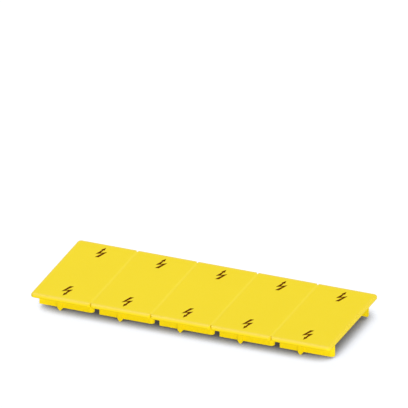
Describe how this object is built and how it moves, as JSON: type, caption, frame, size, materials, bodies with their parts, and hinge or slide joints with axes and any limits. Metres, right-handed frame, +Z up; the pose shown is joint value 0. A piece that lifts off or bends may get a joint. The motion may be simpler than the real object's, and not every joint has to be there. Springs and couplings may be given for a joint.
{
  "type": "warning sign strip",
  "caption": "Flat yellow warning cover strip with lightning flashes, break grooves and short skirts underneath, for snapping onto a row of rail-mounted terminal blocks.",
  "frame": {"origin": "under the middle of the strip, on the plane of the peg tips that it rests on", "axes": "+X along the strip, +Y across it to the back, +Z up out of the printed face"},
  "size_m": [0.0608, 0.0244, 0.0039],
  "materials": {
    "yellow_plastic": "fine satin moulded surface, signal yellow",
    "flash_print": "thin matt black print"
  },
  "bodies": {
    "root": {"warning_strip": "yellow_plastic"}
  },
  "joints": []
}
